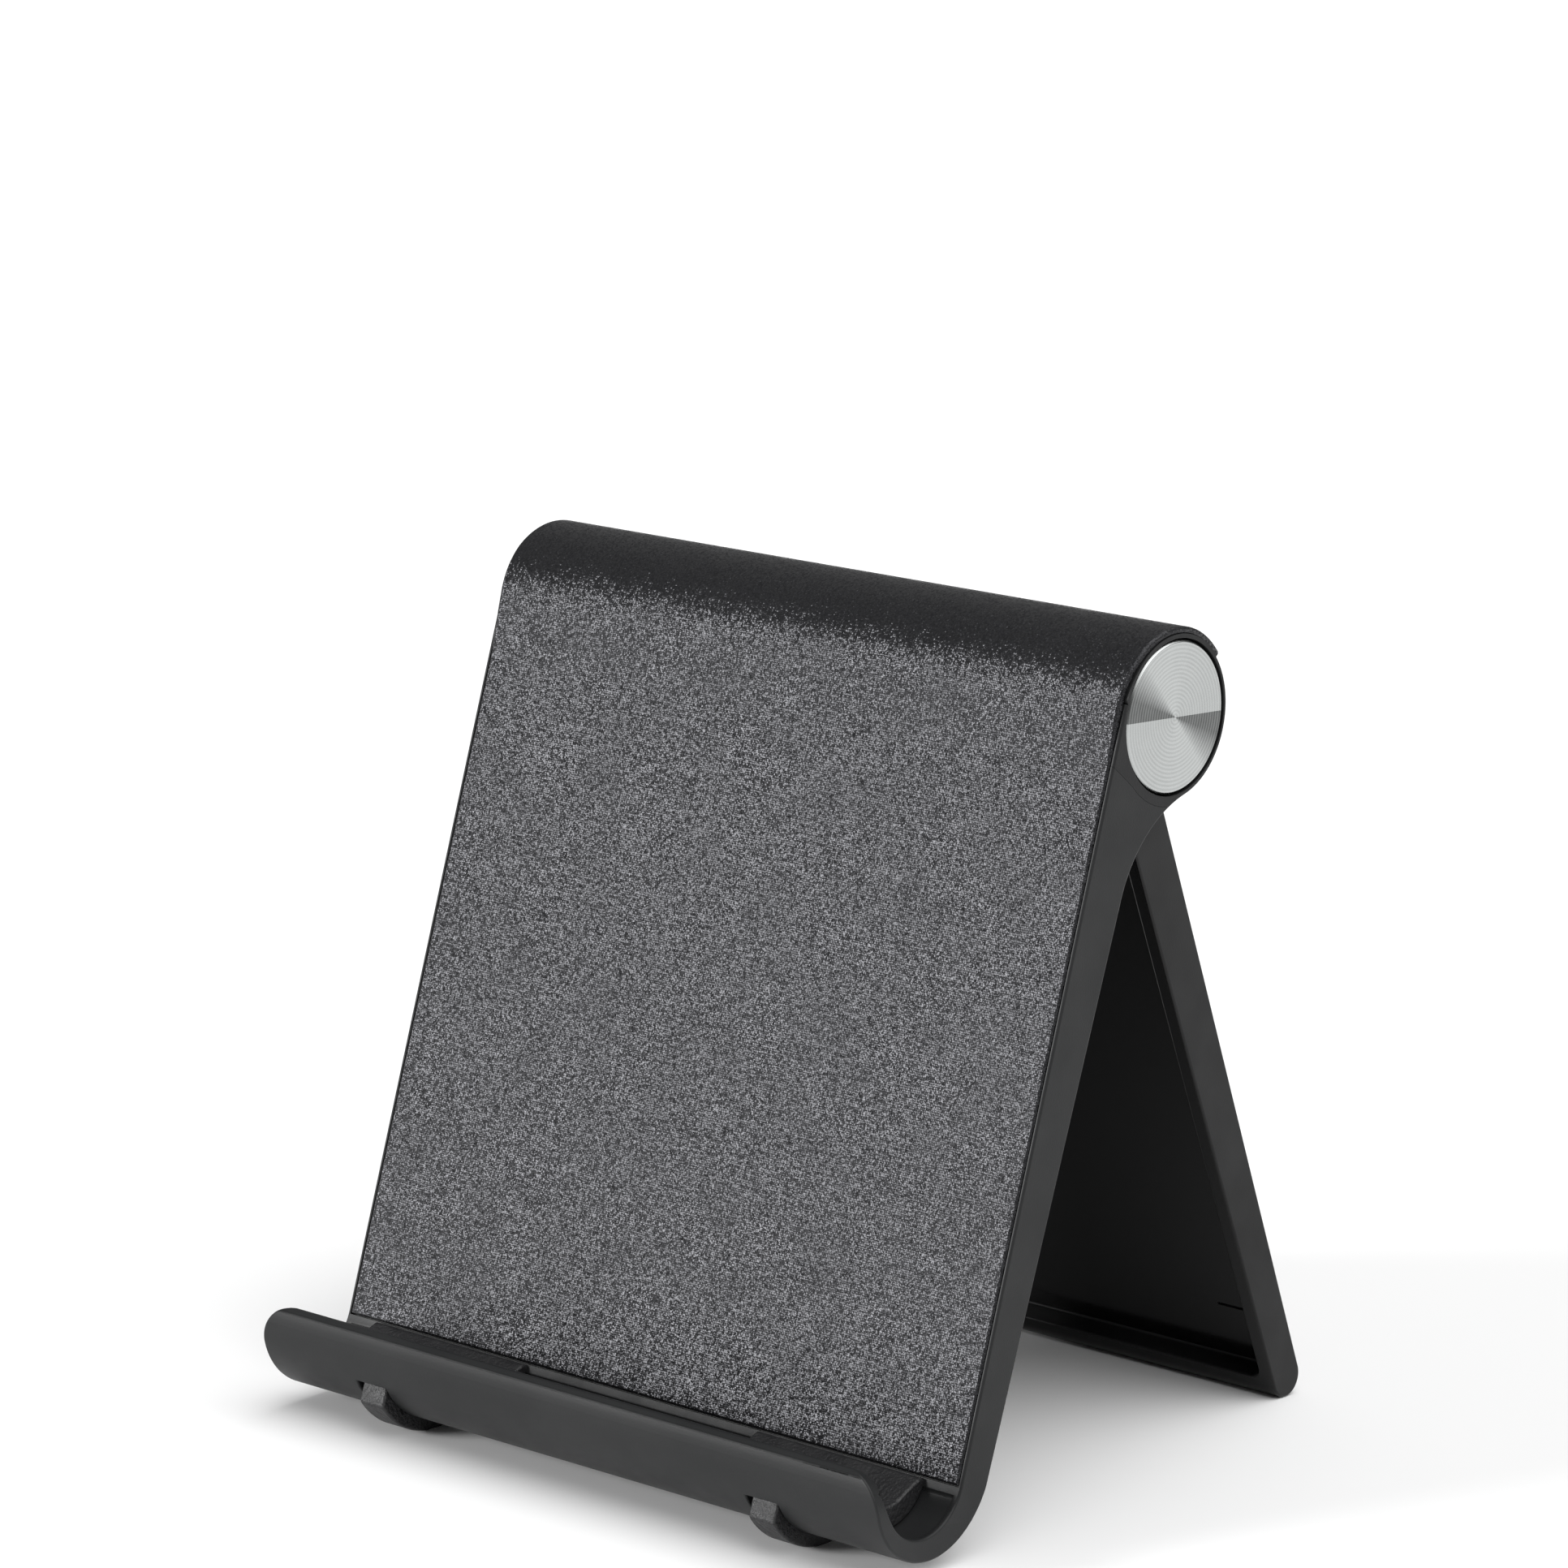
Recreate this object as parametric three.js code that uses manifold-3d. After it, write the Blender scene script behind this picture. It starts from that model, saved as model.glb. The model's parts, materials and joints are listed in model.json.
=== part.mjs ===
// A folding desk stand for a phone: a front plate with a curved cradle along its foot, and a rear leg
// that turns on a friction hinge along its top.
// Millimetres. X across the stand, +Y to the rear, +Z up. Each section is drawn as (rear, up), with up
// measured along the front plate, and is extruded across X. The whole stand is then leant back until
// the cradle's feet and the leg's tip touch one floor.
import * as THREE from 'three';
import { mergeVertices } from 'three/addons/utils/BufferGeometryUtils.js';
import Module from 'manifold-3d';

const wasm = await Module();
wasm.setup();

// Front plate
const HALF_WIDTH = 43;
const BACK_AT_CRADLE = 4.2;
const BACK_AT_HINGE = 6.05;
const FLARE_RADIUS = 14.5;

// Cradle: a round trough whose wall thins from the plate to the lip
const TROUGH_RADIUS = 6;
const TROUGH_UP = 1;
const LIP_WALL = 1.5;
const WALL_TAPER = 1.8;
const LIP_CORNER = 4.5;
const LIP_SLOPE = 8;

// Hinge
const AXIS = new THREE.Vector2(8.6, 81);
const EAR_RADIUS = 8.6;
const EAR_INNER_X = 35.1;
const SEAT_RADIUS = 6.9;
const HOOD_END = 55;
const CAP_X = 40.3;
const CAP_RADIUS = 9.2;
const CAP_FRONT_UP = 74.7;
const DISC_RADIUS = 7.95;

// Soft skin
const SKIN_PROUD = 0.15;
const SKIN_THICKNESS = 0.6;
const SKIN_BOTTOM = 0.75;
const SKIN_TOP = 80.2;
const SKIN_SWELL = 73;
const SKIN_WRAP_RADIUS = 9.3;
const SKIN_WRAP_INNER = 8.85;
const RIM_WIDTH = 0.35;

// Cradle pads, each with a foot that stands out below the cradle
const PAD_X = 27.3;
const PAD_HALF_WIDTH = 11;
const PAD_THICKNESS = 2;
const FOOT_HALF_WIDTH = 1.75;
const FOOT_CENTRE = new THREE.Vector2(-4.65, 1.2);
const FOOT_RADIUS = 10.1;
const FOOT_NOSE = -10.8;
const FOOT_HEEL = 1.15;
const FOOT_FLAT = 0.12;

// Rear leg, measured down from the hinge axis
const LEG_HALF_WIDTH = 34.8;
const LEG_LENGTH = 89.2;
const LEG_BARREL = 6.6;
const LEG_REAR = 4;
const LEG_FRONT_ROOT = 2.2;
const LEG_TIP_RADIUS = 2.3;
const LEG_WALL = 1.8;
const LEG_TRAY_DEPTH = 2.5;
const LEG_TRAY_TOP = 13;
const LEG_OPEN = 39.4;

// Hinge hardware: M4
const SCREW_RADIUS = 2;
const SCREW_CLEAR = 2.3;
const HEAD_RADIUS = 3.7;
const NUT_FLATS = 7;
const NUT_HEIGHT = 3;
const NUT_X = 28;
const CORE_RADIUS = 4.2;

const GAP = 0.3;
const SEAM = 0.25;
const FAR = 60;

const deg = THREE.MathUtils.degToRad;

// A point round a centre in the (rear, up) plane: 0 degrees to the rear, 90 degrees up
function polar(centre, radius, angle) {
  return new THREE.Vector2(centre.x + radius * Math.cos(deg(angle)), centre.y + radius * Math.sin(deg(angle)));
}

function arc(centre, radius, from, to, steps) {
  return Array.from({ length: steps + 1 }, (_, i) => polar(centre, radius, from + ((to - from) * i) / steps));
}

function point(rear, up) {
  return new THREE.Vector2(rear, up);
}

function solid(geometry) {
  geometry.deleteAttribute('normal');
  geometry.deleteAttribute('uv');
  const merged = mergeVertices(geometry, 1e-4);
  return new wasm.Manifold(new wasm.Mesh({
    numProp: 3,
    vertProperties: new Float32Array(merged.attributes.position.array),
    triVerts: new Uint32Array(merged.index.array),
  }));
}

function toGeometry(manifold) {
  const mesh = manifold.getMesh();
  const geometry = new THREE.BufferGeometry();
  geometry.setAttribute('position', new THREE.BufferAttribute(new Float32Array(mesh.vertProperties), 3));
  geometry.setIndex(new THREE.BufferAttribute(new Uint32Array(mesh.triVerts), 1));
  geometry.computeVertexNormals();
  return geometry;
}

// A (rear, up) outline carried across X from one side to the other
function across(points, fromX, toX) {
  const shape = new THREE.Shape(points);
  const geometry = new THREE.ExtrudeGeometry(shape, { depth: toX - fromX, bevelEnabled: false });
  const basis = new THREE.Matrix4().makeBasis(
    new THREE.Vector3(0, 1, 0),
    new THREE.Vector3(0, 0, 1),
    new THREE.Vector3(1, 0, 0),
  );
  geometry.applyMatrix4(basis);
  geometry.translate(fromX, 0, 0);
  return solid(geometry);
}

// From near to far along X on one side of the middle, in rising order
function span(sign, near, far) {
  return sign > 0 ? [near, far] : [-far, -near];
}

// A block between two corners
function block(x0, x1, rear0, rear1, up0, up1) {
  const geometry = new THREE.BoxGeometry(x1 - x0, rear1 - rear0, up1 - up0);
  geometry.translate((x0 + x1) / 2, (rear0 + rear1) / 2, (up0 + up1) / 2);
  return solid(geometry);
}

// A turned piece on the hinge axis; profile is [x, radius] pairs from one face to the other
function turned(profile, segments = 32) {
  const geometry = new THREE.LatheGeometry(profile.map(([x, r]) => new THREE.Vector2(r, x)), segments);
  geometry.rotateZ(-Math.PI / 2);
  geometry.translate(0, AXIS.x, AXIS.y);
  return solid(geometry);
}

function rod(radius, fromX, toX, segments = 32) {
  return turned([[fromX, 0], [fromX, radius], [toX, radius], [toX, 0]], segments);
}

// ---- Sections ----

const backTilt = (BACK_AT_HINGE - BACK_AT_CRADLE) / (AXIS.y - 20 - TROUGH_UP);
const backAt = (up) => BACK_AT_CRADLE + backTilt * (up - TROUGH_UP);
const troughCentre = point(-TROUGH_RADIUS, TROUGH_UP);

// The cradle from the plate's back round to the lip's tip and back along the trough
function cradle(steps) {
  const outer = [];
  for (let i = 0; i <= steps; i++) {
    const turn = i / steps;
    const share = 1 - (turn * (180 - LIP_SLOPE)) / 180;
    const wall = LIP_WALL + (BACK_AT_CRADLE - LIP_WALL) * share ** WALL_TAPER;
    outer.push(polar(troughCentre, TROUGH_RADIUS + wall, -180 * (1 - share)));
  }
  const tip = point(-2 * TROUGH_RADIUS - 0.45 * LIP_WALL, TROUGH_UP + 0.05);
  return [...outer, tip, ...arc(troughCentre, TROUGH_RADIUS, -180, 0, steps)];
}

// Ear: a round boss on the hinge axis that flares into the plate's back
function earOutline() {
  const flareRear = BACK_AT_HINGE + FLARE_RADIUS;
  const reach = EAR_RADIUS + FLARE_RADIUS;
  const flareUp = AXIS.y - Math.sqrt(reach ** 2 - (flareRear - AXIS.x) ** 2);
  const lean = THREE.MathUtils.radToDeg(Math.atan2(AXIS.y - flareUp, AXIS.x - flareRear));
  return [
    ...arc(AXIS, EAR_RADIUS, 180, lean - 180, 30),
    ...arc(point(flareRear, flareUp), FLARE_RADIUS, lean, 180, 8).slice(1),
    ...cradle(24),
  ];
}

// Between the ears the plate ends in a hood over the leg's barrel
function hoodOutline() {
  const seatEnd = 180 + THREE.MathUtils.radToDeg(Math.acos((AXIS.x - BACK_AT_HINGE) / SEAT_RADIUS));
  return [
    ...arc(AXIS, EAR_RADIUS, 180, HOOD_END, 14),
    ...arc(AXIS, SEAT_RADIUS, HOOD_END, seatEnd, 20),
    point(backAt(AXIS.y - 20), AXIS.y - 20),
    ...cradle(24),
  ];
}

// What the hinge cap covers: a disc round the axis and the corner in front of it
function capZone(grow) {
  return [
    ...arc(AXIS, CAP_RADIUS + grow, -121, 130, 30),
    point(-3, AXIS.y + 12),
    point(-3, CAP_FRONT_UP + 1.06 - grow),
  ];
}

// ---- Front plate ----

function lipCorners() {
  const half = HALF_WIDTH;
  const top = TROUGH_UP + 2;
  const centreUp = TROUGH_UP + 0.05 - LIP_CORNER;
  const outline = new THREE.Shape();
  outline.moveTo(half - LIP_CORNER, top);
  outline.lineTo(half - LIP_CORNER, centreUp + LIP_CORNER);
  outline.absarc(half - LIP_CORNER, centreUp, LIP_CORNER, Math.PI / 2, 0, true);
  outline.lineTo(half + 2, centreUp);
  outline.lineTo(half + 2, top);
  const geometry = new THREE.ExtrudeGeometry(outline, { depth: 9, bevelEnabled: false, curveSegments: 5 });
  geometry.rotateX(Math.PI / 2);
  geometry.translate(0, -TROUGH_RADIUS, 0);
  const right = solid(geometry);
  return right.add(right.mirror([1, 0, 0]));
}

function footOutline(grow) {
  const noseUp = FOOT_CENTRE.y - Math.sqrt(FOOT_RADIUS ** 2 - (FOOT_NOSE - FOOT_CENTRE.x) ** 2);
  const nose = -180 + THREE.MathUtils.radToDeg(Math.asin((FOOT_CENTRE.y - noseUp) / FOOT_RADIUS));
  const heel = -THREE.MathUtils.radToDeg(Math.acos((FOOT_HEEL - FOOT_CENTRE.x) / FOOT_RADIUS));
  return [
    point(FOOT_NOSE - grow, -3.9 + grow),
    point(FOOT_NOSE - grow, noseUp),
    ...arc(FOOT_CENTRE, FOOT_RADIUS + grow, nose, heel - 6, 14),
    point(FOOT_HEEL - 0.2 + grow, -6.6),
    point(FOOT_HEEL + grow, -3.6 + grow),
    ...arc(troughCentre, TROUGH_RADIUS - 1 - grow, -40, -135, 8),
  ];
}

const RECESS_FLOOR = SKIN_THICKNESS - SKIN_PROUD + GAP;

// The shallow recess that the skin sits in, inside a thin rim
function skinRecess() {
  const side = HALF_WIDTH - RIM_WIDTH;
  return block(-side, side, -2, RECESS_FLOOR, SKIN_BOTTOM - GAP, SKIN_TOP + GAP);
}

function frontPlate() {
  let body = across(hoodOutline(), -EAR_INNER_X - 1, EAR_INNER_X + 1);
  body = body.add(across(earOutline(), EAR_INNER_X, HALF_WIDTH));
  body = body.add(across(earOutline(), -HALF_WIDTH, -EAR_INNER_X));
  body = body.subtract(rod(SEAT_RADIUS, -EAR_INNER_X, EAR_INNER_X, 48));
  body = body.subtract(skinRecess());
  body = body.subtract(lipCorners());
  for (const sign of [-1, 1]) {
    body = body.subtract(across(capZone(SEAM), ...span(sign, CAP_X - SEAM, HALF_WIDTH + 1)));
    body = body.subtract(rod(SEAT_RADIUS, ...span(sign, 37, CAP_X)));
    body = body.subtract(rod(SCREW_CLEAR, ...span(sign, 30, CAP_X)));
    const slot = FOOT_HALF_WIDTH + GAP;
    body = body.subtract(across(footOutline(GAP), ...span(sign, PAD_X - slot, PAD_X + slot)));
  }
  return body;
}

// ---- Soft skin on the plate's face and over the hinge ----

function skin() {
  const inner = SKIN_THICKNESS - SKIN_PROUD;
  const half = HALF_WIDTH - RIM_WIDTH - GAP;
  const wrapRear = AXIS.x - SKIN_WRAP_RADIUS;
  const swell = [];
  const steps = 8;
  for (let i = 0; i < steps; i++) {
    const share = i / steps;
    const rise = share * share * (3 - 2 * share);
    swell.push(point(-SKIN_PROUD + (wrapRear + SKIN_PROUD) * rise, SKIN_SWELL + (AXIS.y - SKIN_SWELL) * share));
  }
  const innerStart = 180 + THREE.MathUtils.radToDeg(Math.asin((AXIS.y - SKIN_TOP) / SKIN_WRAP_INNER));
  return across([
    point(-SKIN_PROUD, SKIN_BOTTOM),
    ...swell,
    ...arc(AXIS, SKIN_WRAP_RADIUS, 180, HOOD_END, 24),
    ...arc(AXIS, SKIN_WRAP_INNER, HOOD_END, innerStart, 20),
    point(inner, SKIN_TOP),
    point(inner, SKIN_BOTTOM),
  ], -half, half);
}

// ---- Cradle pads ----

function pad(sign, floorCut) {
  const bed = TROUGH_RADIUS - GAP;
  const top = [];
  const steps = 16;
  for (let i = 0; i <= steps; i++) {
    const turn = 4 + (152 * i) / steps;
    const rise = PAD_THICKNESS * (1 - Math.exp(-(turn - 4) / 14));
    const fall = 1 - Math.exp(-(158 - turn) / 14);
    top.push(polar(troughCentre, bed - rise * fall, -turn));
  }
  const section = [...arc(troughCentre, bed, -156, -4, 16), ...top];
  const rib = across(section, ...span(sign, PAD_X - PAD_HALF_WIDTH, PAD_X + PAD_HALF_WIDTH));
  const foot = across(footOutline(0), ...span(sign, PAD_X - FOOT_HALF_WIDTH, PAD_X + FOOT_HALF_WIDTH));
  return rib.add(foot).subtract(floorCut);
}

// ---- Rear leg, drawn hanging straight down from the axis, then swung open ----

const legFrontTip = LEG_TIP_RADIUS * 2 - LEG_REAR;
const legFrontAt = (down) => LEG_FRONT_ROOT + ((legFrontTip - LEG_FRONT_ROOT) * down) / LEG_LENGTH;

function rearLeg() {
  const tip = point(AXIS.x + LEG_REAR - LEG_TIP_RADIUS, AXIS.y - LEG_LENGTH + LEG_TIP_RADIUS);
  const plate = [
    point(AXIS.x + LEG_REAR, AXIS.y),
    point(AXIS.x - LEG_FRONT_ROOT, AXIS.y),
    ...arc(tip, LEG_TIP_RADIUS, 180, 360, 12),
  ];
  let body = across(plate, -LEG_HALF_WIDTH, LEG_HALF_WIDTH);
  body = body.add(rod(LEG_BARREL, -LEG_HALF_WIDTH, LEG_HALF_WIDTH, 40));
  const traySide = LEG_HALF_WIDTH - LEG_WALL;
  const trayTop = AXIS.y - LEG_TRAY_TOP;
  const trayBottom = AXIS.y - LEG_LENGTH + LEG_TIP_RADIUS + 1;
  const floorAt = (up) => AXIS.x - legFrontAt(AXIS.y - up) + LEG_TRAY_DEPTH;
  body = body.subtract(across([
    point(-FAR, trayBottom),
    point(floorAt(trayBottom), trayBottom),
    point(floorAt(trayTop), trayTop),
    point(-FAR, trayTop),
  ], -traySide, traySide));
  body = body.subtract(rod(CORE_RADIUS, -NUT_X, NUT_X));
  for (const sign of [-1, 1]) {
    body = body.subtract(rod(SCREW_CLEAR, ...span(sign, NUT_X - 1, LEG_HALF_WIDTH + 1)));
    body = body.subtract(rod((NUT_FLATS / 2 + GAP) / Math.cos(Math.PI / 6), ...span(sign, NUT_X - 1, NUT_X + 3.6), 6));
    body = body.subtract(rod(5.2, ...span(sign, 33.9, LEG_HALF_WIDTH + 1)));
    body = body.subtract(block(...span(sign, 18, NUT_X), AXIS.x - 3.8, AXIS.x + 3.8, AXIS.y, AXIS.y + 10));
  }
  return body;
}

// ---- Hinge caps, discs and hardware; drawn on the right, mirrored for the left ----

function hingeCap() {
  const body = across(earOutline(), CAP_X, HALF_WIDTH).intersect(across(capZone(0), CAP_X - 1, HALF_WIDTH + 1));
  return body
    .subtract(skinRecess())
    .subtract(rod(DISC_RADIUS + SEAM, 41.3, HALF_WIDTH + 1, 64))
    .subtract(rod(HEAD_RADIUS + GAP, CAP_X - 1, 40.7));
}

const DISC_FACE = HALF_WIDTH - 0.05;

const hardware = {
  trim_disc: () => turned([
    [41.9, 0],
    [41.9, DISC_RADIUS],
    [DISC_FACE - 0.25, DISC_RADIUS],
    [DISC_FACE, DISC_RADIUS - 0.25],
    [DISC_FACE, 0],
  ], 64),
  adhesive_disc: () => rod(7.4, 41.5, 41.7, 40),
  hinge_screw: () => rod(HEAD_RADIUS, 38.95, 40.45)
    .add(rod(SCREW_RADIUS, 27.4, 39))
    .subtract(rod(1.3, 39.6, 42, 6)),
  spring_washer: () => turned([
    [38.0, SCREW_CLEAR],
    [38.35, 4.4],
    [38.7, 4.4],
    [38.35, SCREW_CLEAR],
    [38.0, SCREW_CLEAR],
  ]),
  flat_washer: () => rod(5, 37.2, 37.8).subtract(rod(SCREW_CLEAR, 37, 38)),
  friction_washer: () => rod(4.9, 34.2, 34.8).subtract(rod(SCREW_CLEAR, 34, 35)),
  lock_nut: () => rod(NUT_FLATS / 2 / Math.cos(Math.PI / 6), NUT_X + 0.3, NUT_X + 0.3 + NUT_HEIGHT, 6)
    .subtract(rod(SCREW_CLEAR, 20, FAR)),
};

// ---- Materials ----

const materials = {
  body: new THREE.MeshStandardMaterial({ color: 0x2b2c2d, roughness: 0.55, metalness: 0 }),
  rubber: new THREE.MeshStandardMaterial({ color: 0x1d1e20, roughness: 0.7, metalness: 0 }),
  aluminium: new THREE.MeshStandardMaterial({ color: 0xc4c8c8, roughness: 0.28, metalness: 1 }),
  steel: new THREE.MeshStandardMaterial({ color: 0x9a9da0, roughness: 0.35, metalness: 1 }),
  adhesive: new THREE.MeshStandardMaterial({ color: 0xd8d6cc, roughness: 0.8, metalness: 0 }),
  nylon: new THREE.MeshStandardMaterial({ color: 0xdedbd0, roughness: 0.5, metalness: 0 }),
};

// Slot of each fixed piece, and of each piece that turns with the leg
const fixedHardware = { trim_disc: 'aluminium', adhesive_disc: 'adhesive', friction_washer: 'nylon' };
const turningHardware = { hinge_screw: 'steel', spring_washer: 'steel', flat_washer: 'steel', lock_nut: 'steel' };

function named(name, manifold, slot) {
  const mesh = new THREE.Mesh(toGeometry(manifold), materials[slot]);
  mesh.name = name;
  return mesh;
}

// ---- Assembly ----

// The lean that brings the feet and the leg's tip to one level: both are arcs, so the floor is their
// common tangent
function restLean() {
  const open = deg(LEG_OPEN);
  const reach = LEG_LENGTH - LEG_TIP_RADIUS;
  const out = LEG_REAR - LEG_TIP_RADIUS;
  const tip = point(
    AXIS.x + reach * Math.sin(open) + out * Math.cos(open),
    AXIS.y - reach * Math.cos(open) + out * Math.sin(open),
  );
  const span = tip.clone().sub(FOOT_CENTRE);
  const drop = FOOT_RADIUS - FOOT_FLAT - LEG_TIP_RADIUS;
  return Math.atan2(span.y, span.x) + Math.asin(drop / span.length());
}

const lean = restLean();

// Everything below the floor is trimmed off the feet, which leaves each a small flat to stand on
function floorBlock() {
  const size = 2 * FAR;
  const geometry = new THREE.BoxGeometry(2 * size, size, size);
  geometry.translate(0, 0, -size / 2 - FOOT_RADIUS + FOOT_FLAT);
  geometry.rotateX(lean);
  geometry.translate(0, FOOT_CENTRE.x, FOOT_CENTRE.y);
  return solid(geometry);
}

const stand = new THREE.Group();
stand.rotation.x = -lean;

// The leg and what is clamped to it turn about the hinge axis
const hinge = new THREE.Group();
hinge.position.set(0, AXIS.x, AXIS.y);
hinge.rotation.x = deg(LEG_OPEN);
stand.add(hinge);

const onAxis = (manifold) => manifold.translate([0, -AXIS.x, -AXIS.y]);
const floorCut = floorBlock();
stand.add(named('front_plate', frontPlate(), 'body'));
stand.add(named('face_skin', skin(), 'rubber'));
hinge.add(named('rear_leg', onAxis(rearLeg()), 'body'));
for (const [side, sign] of [['left', -1], ['right', 1]]) {
  const place = (manifold) => (sign > 0 ? manifold : manifold.mirror([1, 0, 0]));
  stand.add(named(`cradle_pad_${side}`, pad(sign, floorCut), 'rubber'));
  stand.add(named(`hinge_cap_${side}`, place(hingeCap()), 'body'));
  for (const [piece, slot] of Object.entries(fixedHardware)) {
    stand.add(named(`${piece}_${side}`, place(hardware[piece]()), slot));
  }
  for (const [piece, slot] of Object.entries(turningHardware)) {
    hinge.add(named(`${piece}_${side}`, onAxis(place(hardware[piece]())), slot));
  }
}

// The origin is on the floor, under the middle of the stand
const object = new THREE.Group();
object.add(stand);
object.updateMatrixWorld(true);
const box = new THREE.Box3().setFromObject(object, true);
stand.position.set(0, -(box.min.y + box.max.y) / 2, -box.min.z);

export default object;
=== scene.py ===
"""Looks for a folding phone stand: moulded front plate with a curved cradle, textured skin, silicone
pads, spun trim discs and a rear leg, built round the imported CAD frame.

Sections are drawn in millimetres as (rear, up), with up measured along the front plate, and are
carried across X. Each piece's object then stands the section up in the frame.
"""

import json
import math

import bmesh
import bpy
from mathutils import Matrix, Vector


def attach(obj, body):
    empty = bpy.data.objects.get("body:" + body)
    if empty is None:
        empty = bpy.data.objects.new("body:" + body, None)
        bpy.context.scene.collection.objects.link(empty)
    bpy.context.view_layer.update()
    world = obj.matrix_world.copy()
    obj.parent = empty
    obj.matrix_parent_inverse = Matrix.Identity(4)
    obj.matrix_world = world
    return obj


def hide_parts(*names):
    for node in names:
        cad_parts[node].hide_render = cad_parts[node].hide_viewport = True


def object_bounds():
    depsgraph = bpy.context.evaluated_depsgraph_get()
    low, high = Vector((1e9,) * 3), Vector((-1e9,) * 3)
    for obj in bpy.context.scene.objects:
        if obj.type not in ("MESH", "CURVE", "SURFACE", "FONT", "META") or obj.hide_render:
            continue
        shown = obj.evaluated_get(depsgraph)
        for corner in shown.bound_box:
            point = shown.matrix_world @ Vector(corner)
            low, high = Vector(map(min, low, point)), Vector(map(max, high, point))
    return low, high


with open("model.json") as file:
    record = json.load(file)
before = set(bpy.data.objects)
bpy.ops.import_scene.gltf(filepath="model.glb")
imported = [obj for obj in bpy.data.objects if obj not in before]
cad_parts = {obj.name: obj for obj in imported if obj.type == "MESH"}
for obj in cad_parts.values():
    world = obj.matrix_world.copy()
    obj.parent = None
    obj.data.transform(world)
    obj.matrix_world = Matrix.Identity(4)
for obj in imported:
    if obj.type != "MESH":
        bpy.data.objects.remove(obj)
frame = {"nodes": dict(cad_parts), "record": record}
cad_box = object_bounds()
nodes = frame["nodes"]
record = frame["record"]

MM = 0.001

# The hinge axis in the drawn section, and the same axis in the frame
AXIS = (8.6, 81.0)
hinge = record["behaviour"]["joints"][0]
hinge_at = Vector(hinge["pos_m"])
rest_normal = next(m for m in record["mounts"] if m["name"] == "phone_rest")["axis"]
lean = math.atan2(rest_normal[2], -rest_normal[1])
LEG_OPEN = math.radians(39.4)

PLATE = Matrix.Translation(hinge_at) @ Matrix.Rotation(-lean, 4, "X")
PLATE = PLATE @ Matrix.Translation((0, -AXIS[0] * MM, -AXIS[1] * MM))
LEG = Matrix.Translation(hinge_at) @ Matrix.Rotation(LEG_OPEN - lean, 4, "X")
LEG = LEG @ Matrix.Translation((0, -AXIS[0] * MM, -AXIS[1] * MM))

# Front plate and cradle
HALF_WIDTH = 43.0
PLATE_EDGE = 0.26
BACK_AT_CRADLE = 4.2
BACK_AT_HINGE = 6.05
FLARE_RADIUS = 14.5
TROUGH = (-6.0, 1.0)
TROUGH_RADIUS = 6.0
LIP_WALL = 1.5
WALL_TAPER = 1.8
LIP_CORNER = 4.5
LIP_TIP = 0.75

# The cradle's sunk floor, in degrees round from the plate; its cutter ends RIM_RISE clear of the surface
BOWL_DEPTH = 0.22
BOWL_FROM = 10
BOWL_TO = 166
BOWL_SLOPE = 4
RIM_WIDTH = 0.6
RIM_RISE = 0.11

# Hinge
EAR_RADIUS = 8.6
EAR_INNER_X = 35.1
SEAT_RADIUS = 6.9
HOOD_END = 55.0
EAR_BORE_X = 37
CAP_X = 40.3
CAP_RADIUS = 9.2
CAP_ARC = (-121, 130)
CAP_FRONT_UP = 75.76
CAP_BORE_EDGE = 0.06
SEAM = 0.03
DISC_RADIUS = 7.95
DISC_SEAT_RADIUS = 8.14
DISC_SEAT_X = 41.3
DISC_BACK = 41.9
DISC_FACE = 42.95
DISC_CHAMFER = 0.22
DISC_EDGE = 0.05

# Skin
SKIN_PROUD = 0.15
SKIN_INNER = 0.45
SKIN_BOTTOM = 0.75
SKIN_TOP = 80.2
SKIN_SWELL = 73.0
SKIN_WRAP = 9.3
SKIN_WRAP_INNER = 8.64
SKIN_HALF = 42.55
HOOD_SKIN_HALF = 42.85
HOOD_SPREAD = 6.0
SKIN_EDGE = 0.36
SKIN_BACK_EDGE = 0.08
RECESS_HALF = 42.65
RECESS_GAP = 0.1

# Pads
PAD_X = 27.3
PAD_HALF = 11.0
PAD_BED = 6.2
PAD_FROM = 4
PAD_TO = 156
PAD_FADE = 14
PAD_EDGE = 0.8
PAD_THICKNESS = 2.5
PAD_ROUND = 0.3

# Their feet, and the slots that these pass through, which have more room on the left
FOOT_HALF = 1.75
FOOT_CENTRE = (-4.65, 1.2)
FOOT_RADIUS = 10.1
FOOT_NOSE = -10.8
FOOT_NOSE_TOP = -3.9
FOOT_HEEL = 1.15
FOOT_HEEL_TOP = -3.6
FOOT_HEEL_FOOT = -6.6
SLOT_GAP = 0.3
SLOT_LEFT = 0.55
SLOT_PLAY = 0.7

# Leg, measured down from the axis
LEG_HALF = 34.8
LEG_LENGTH = 89.2
LEG_BARREL = 6.6
LEG_REAR = 4.0
LEG_FRONT_ROOT = 2.2
LEG_TIP = 2.3
LEG_WALL = 1.8
LEG_EDGE = 0.3
TRAY_DEPTH = 2.5
TRAY_TOP = 13.0
TRAY_FOOT = 1.0
TRAY_CORNER = 1.2
NUT_POCKET_RADIUS = 5.2
NUT_POCKET_X = 33.9

# An L-shaped groove in the tray's floor, as (across, down) points
MARK = ((27.4, 78.6), (31.7, 78.6), (31.7, 83.2), (31.35, 83.2), (31.35, 78.95), (27.4, 78.95))
MARK_DEPTH = 0.2


# ---- Sections ----


def polar(centre, radius, angle):
    """A point so many degrees round from the rearward direction; upwards is 90."""
    turn = math.radians(angle)
    return (centre[0] + radius * math.cos(turn), centre[1] + radius * math.sin(turn))


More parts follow.
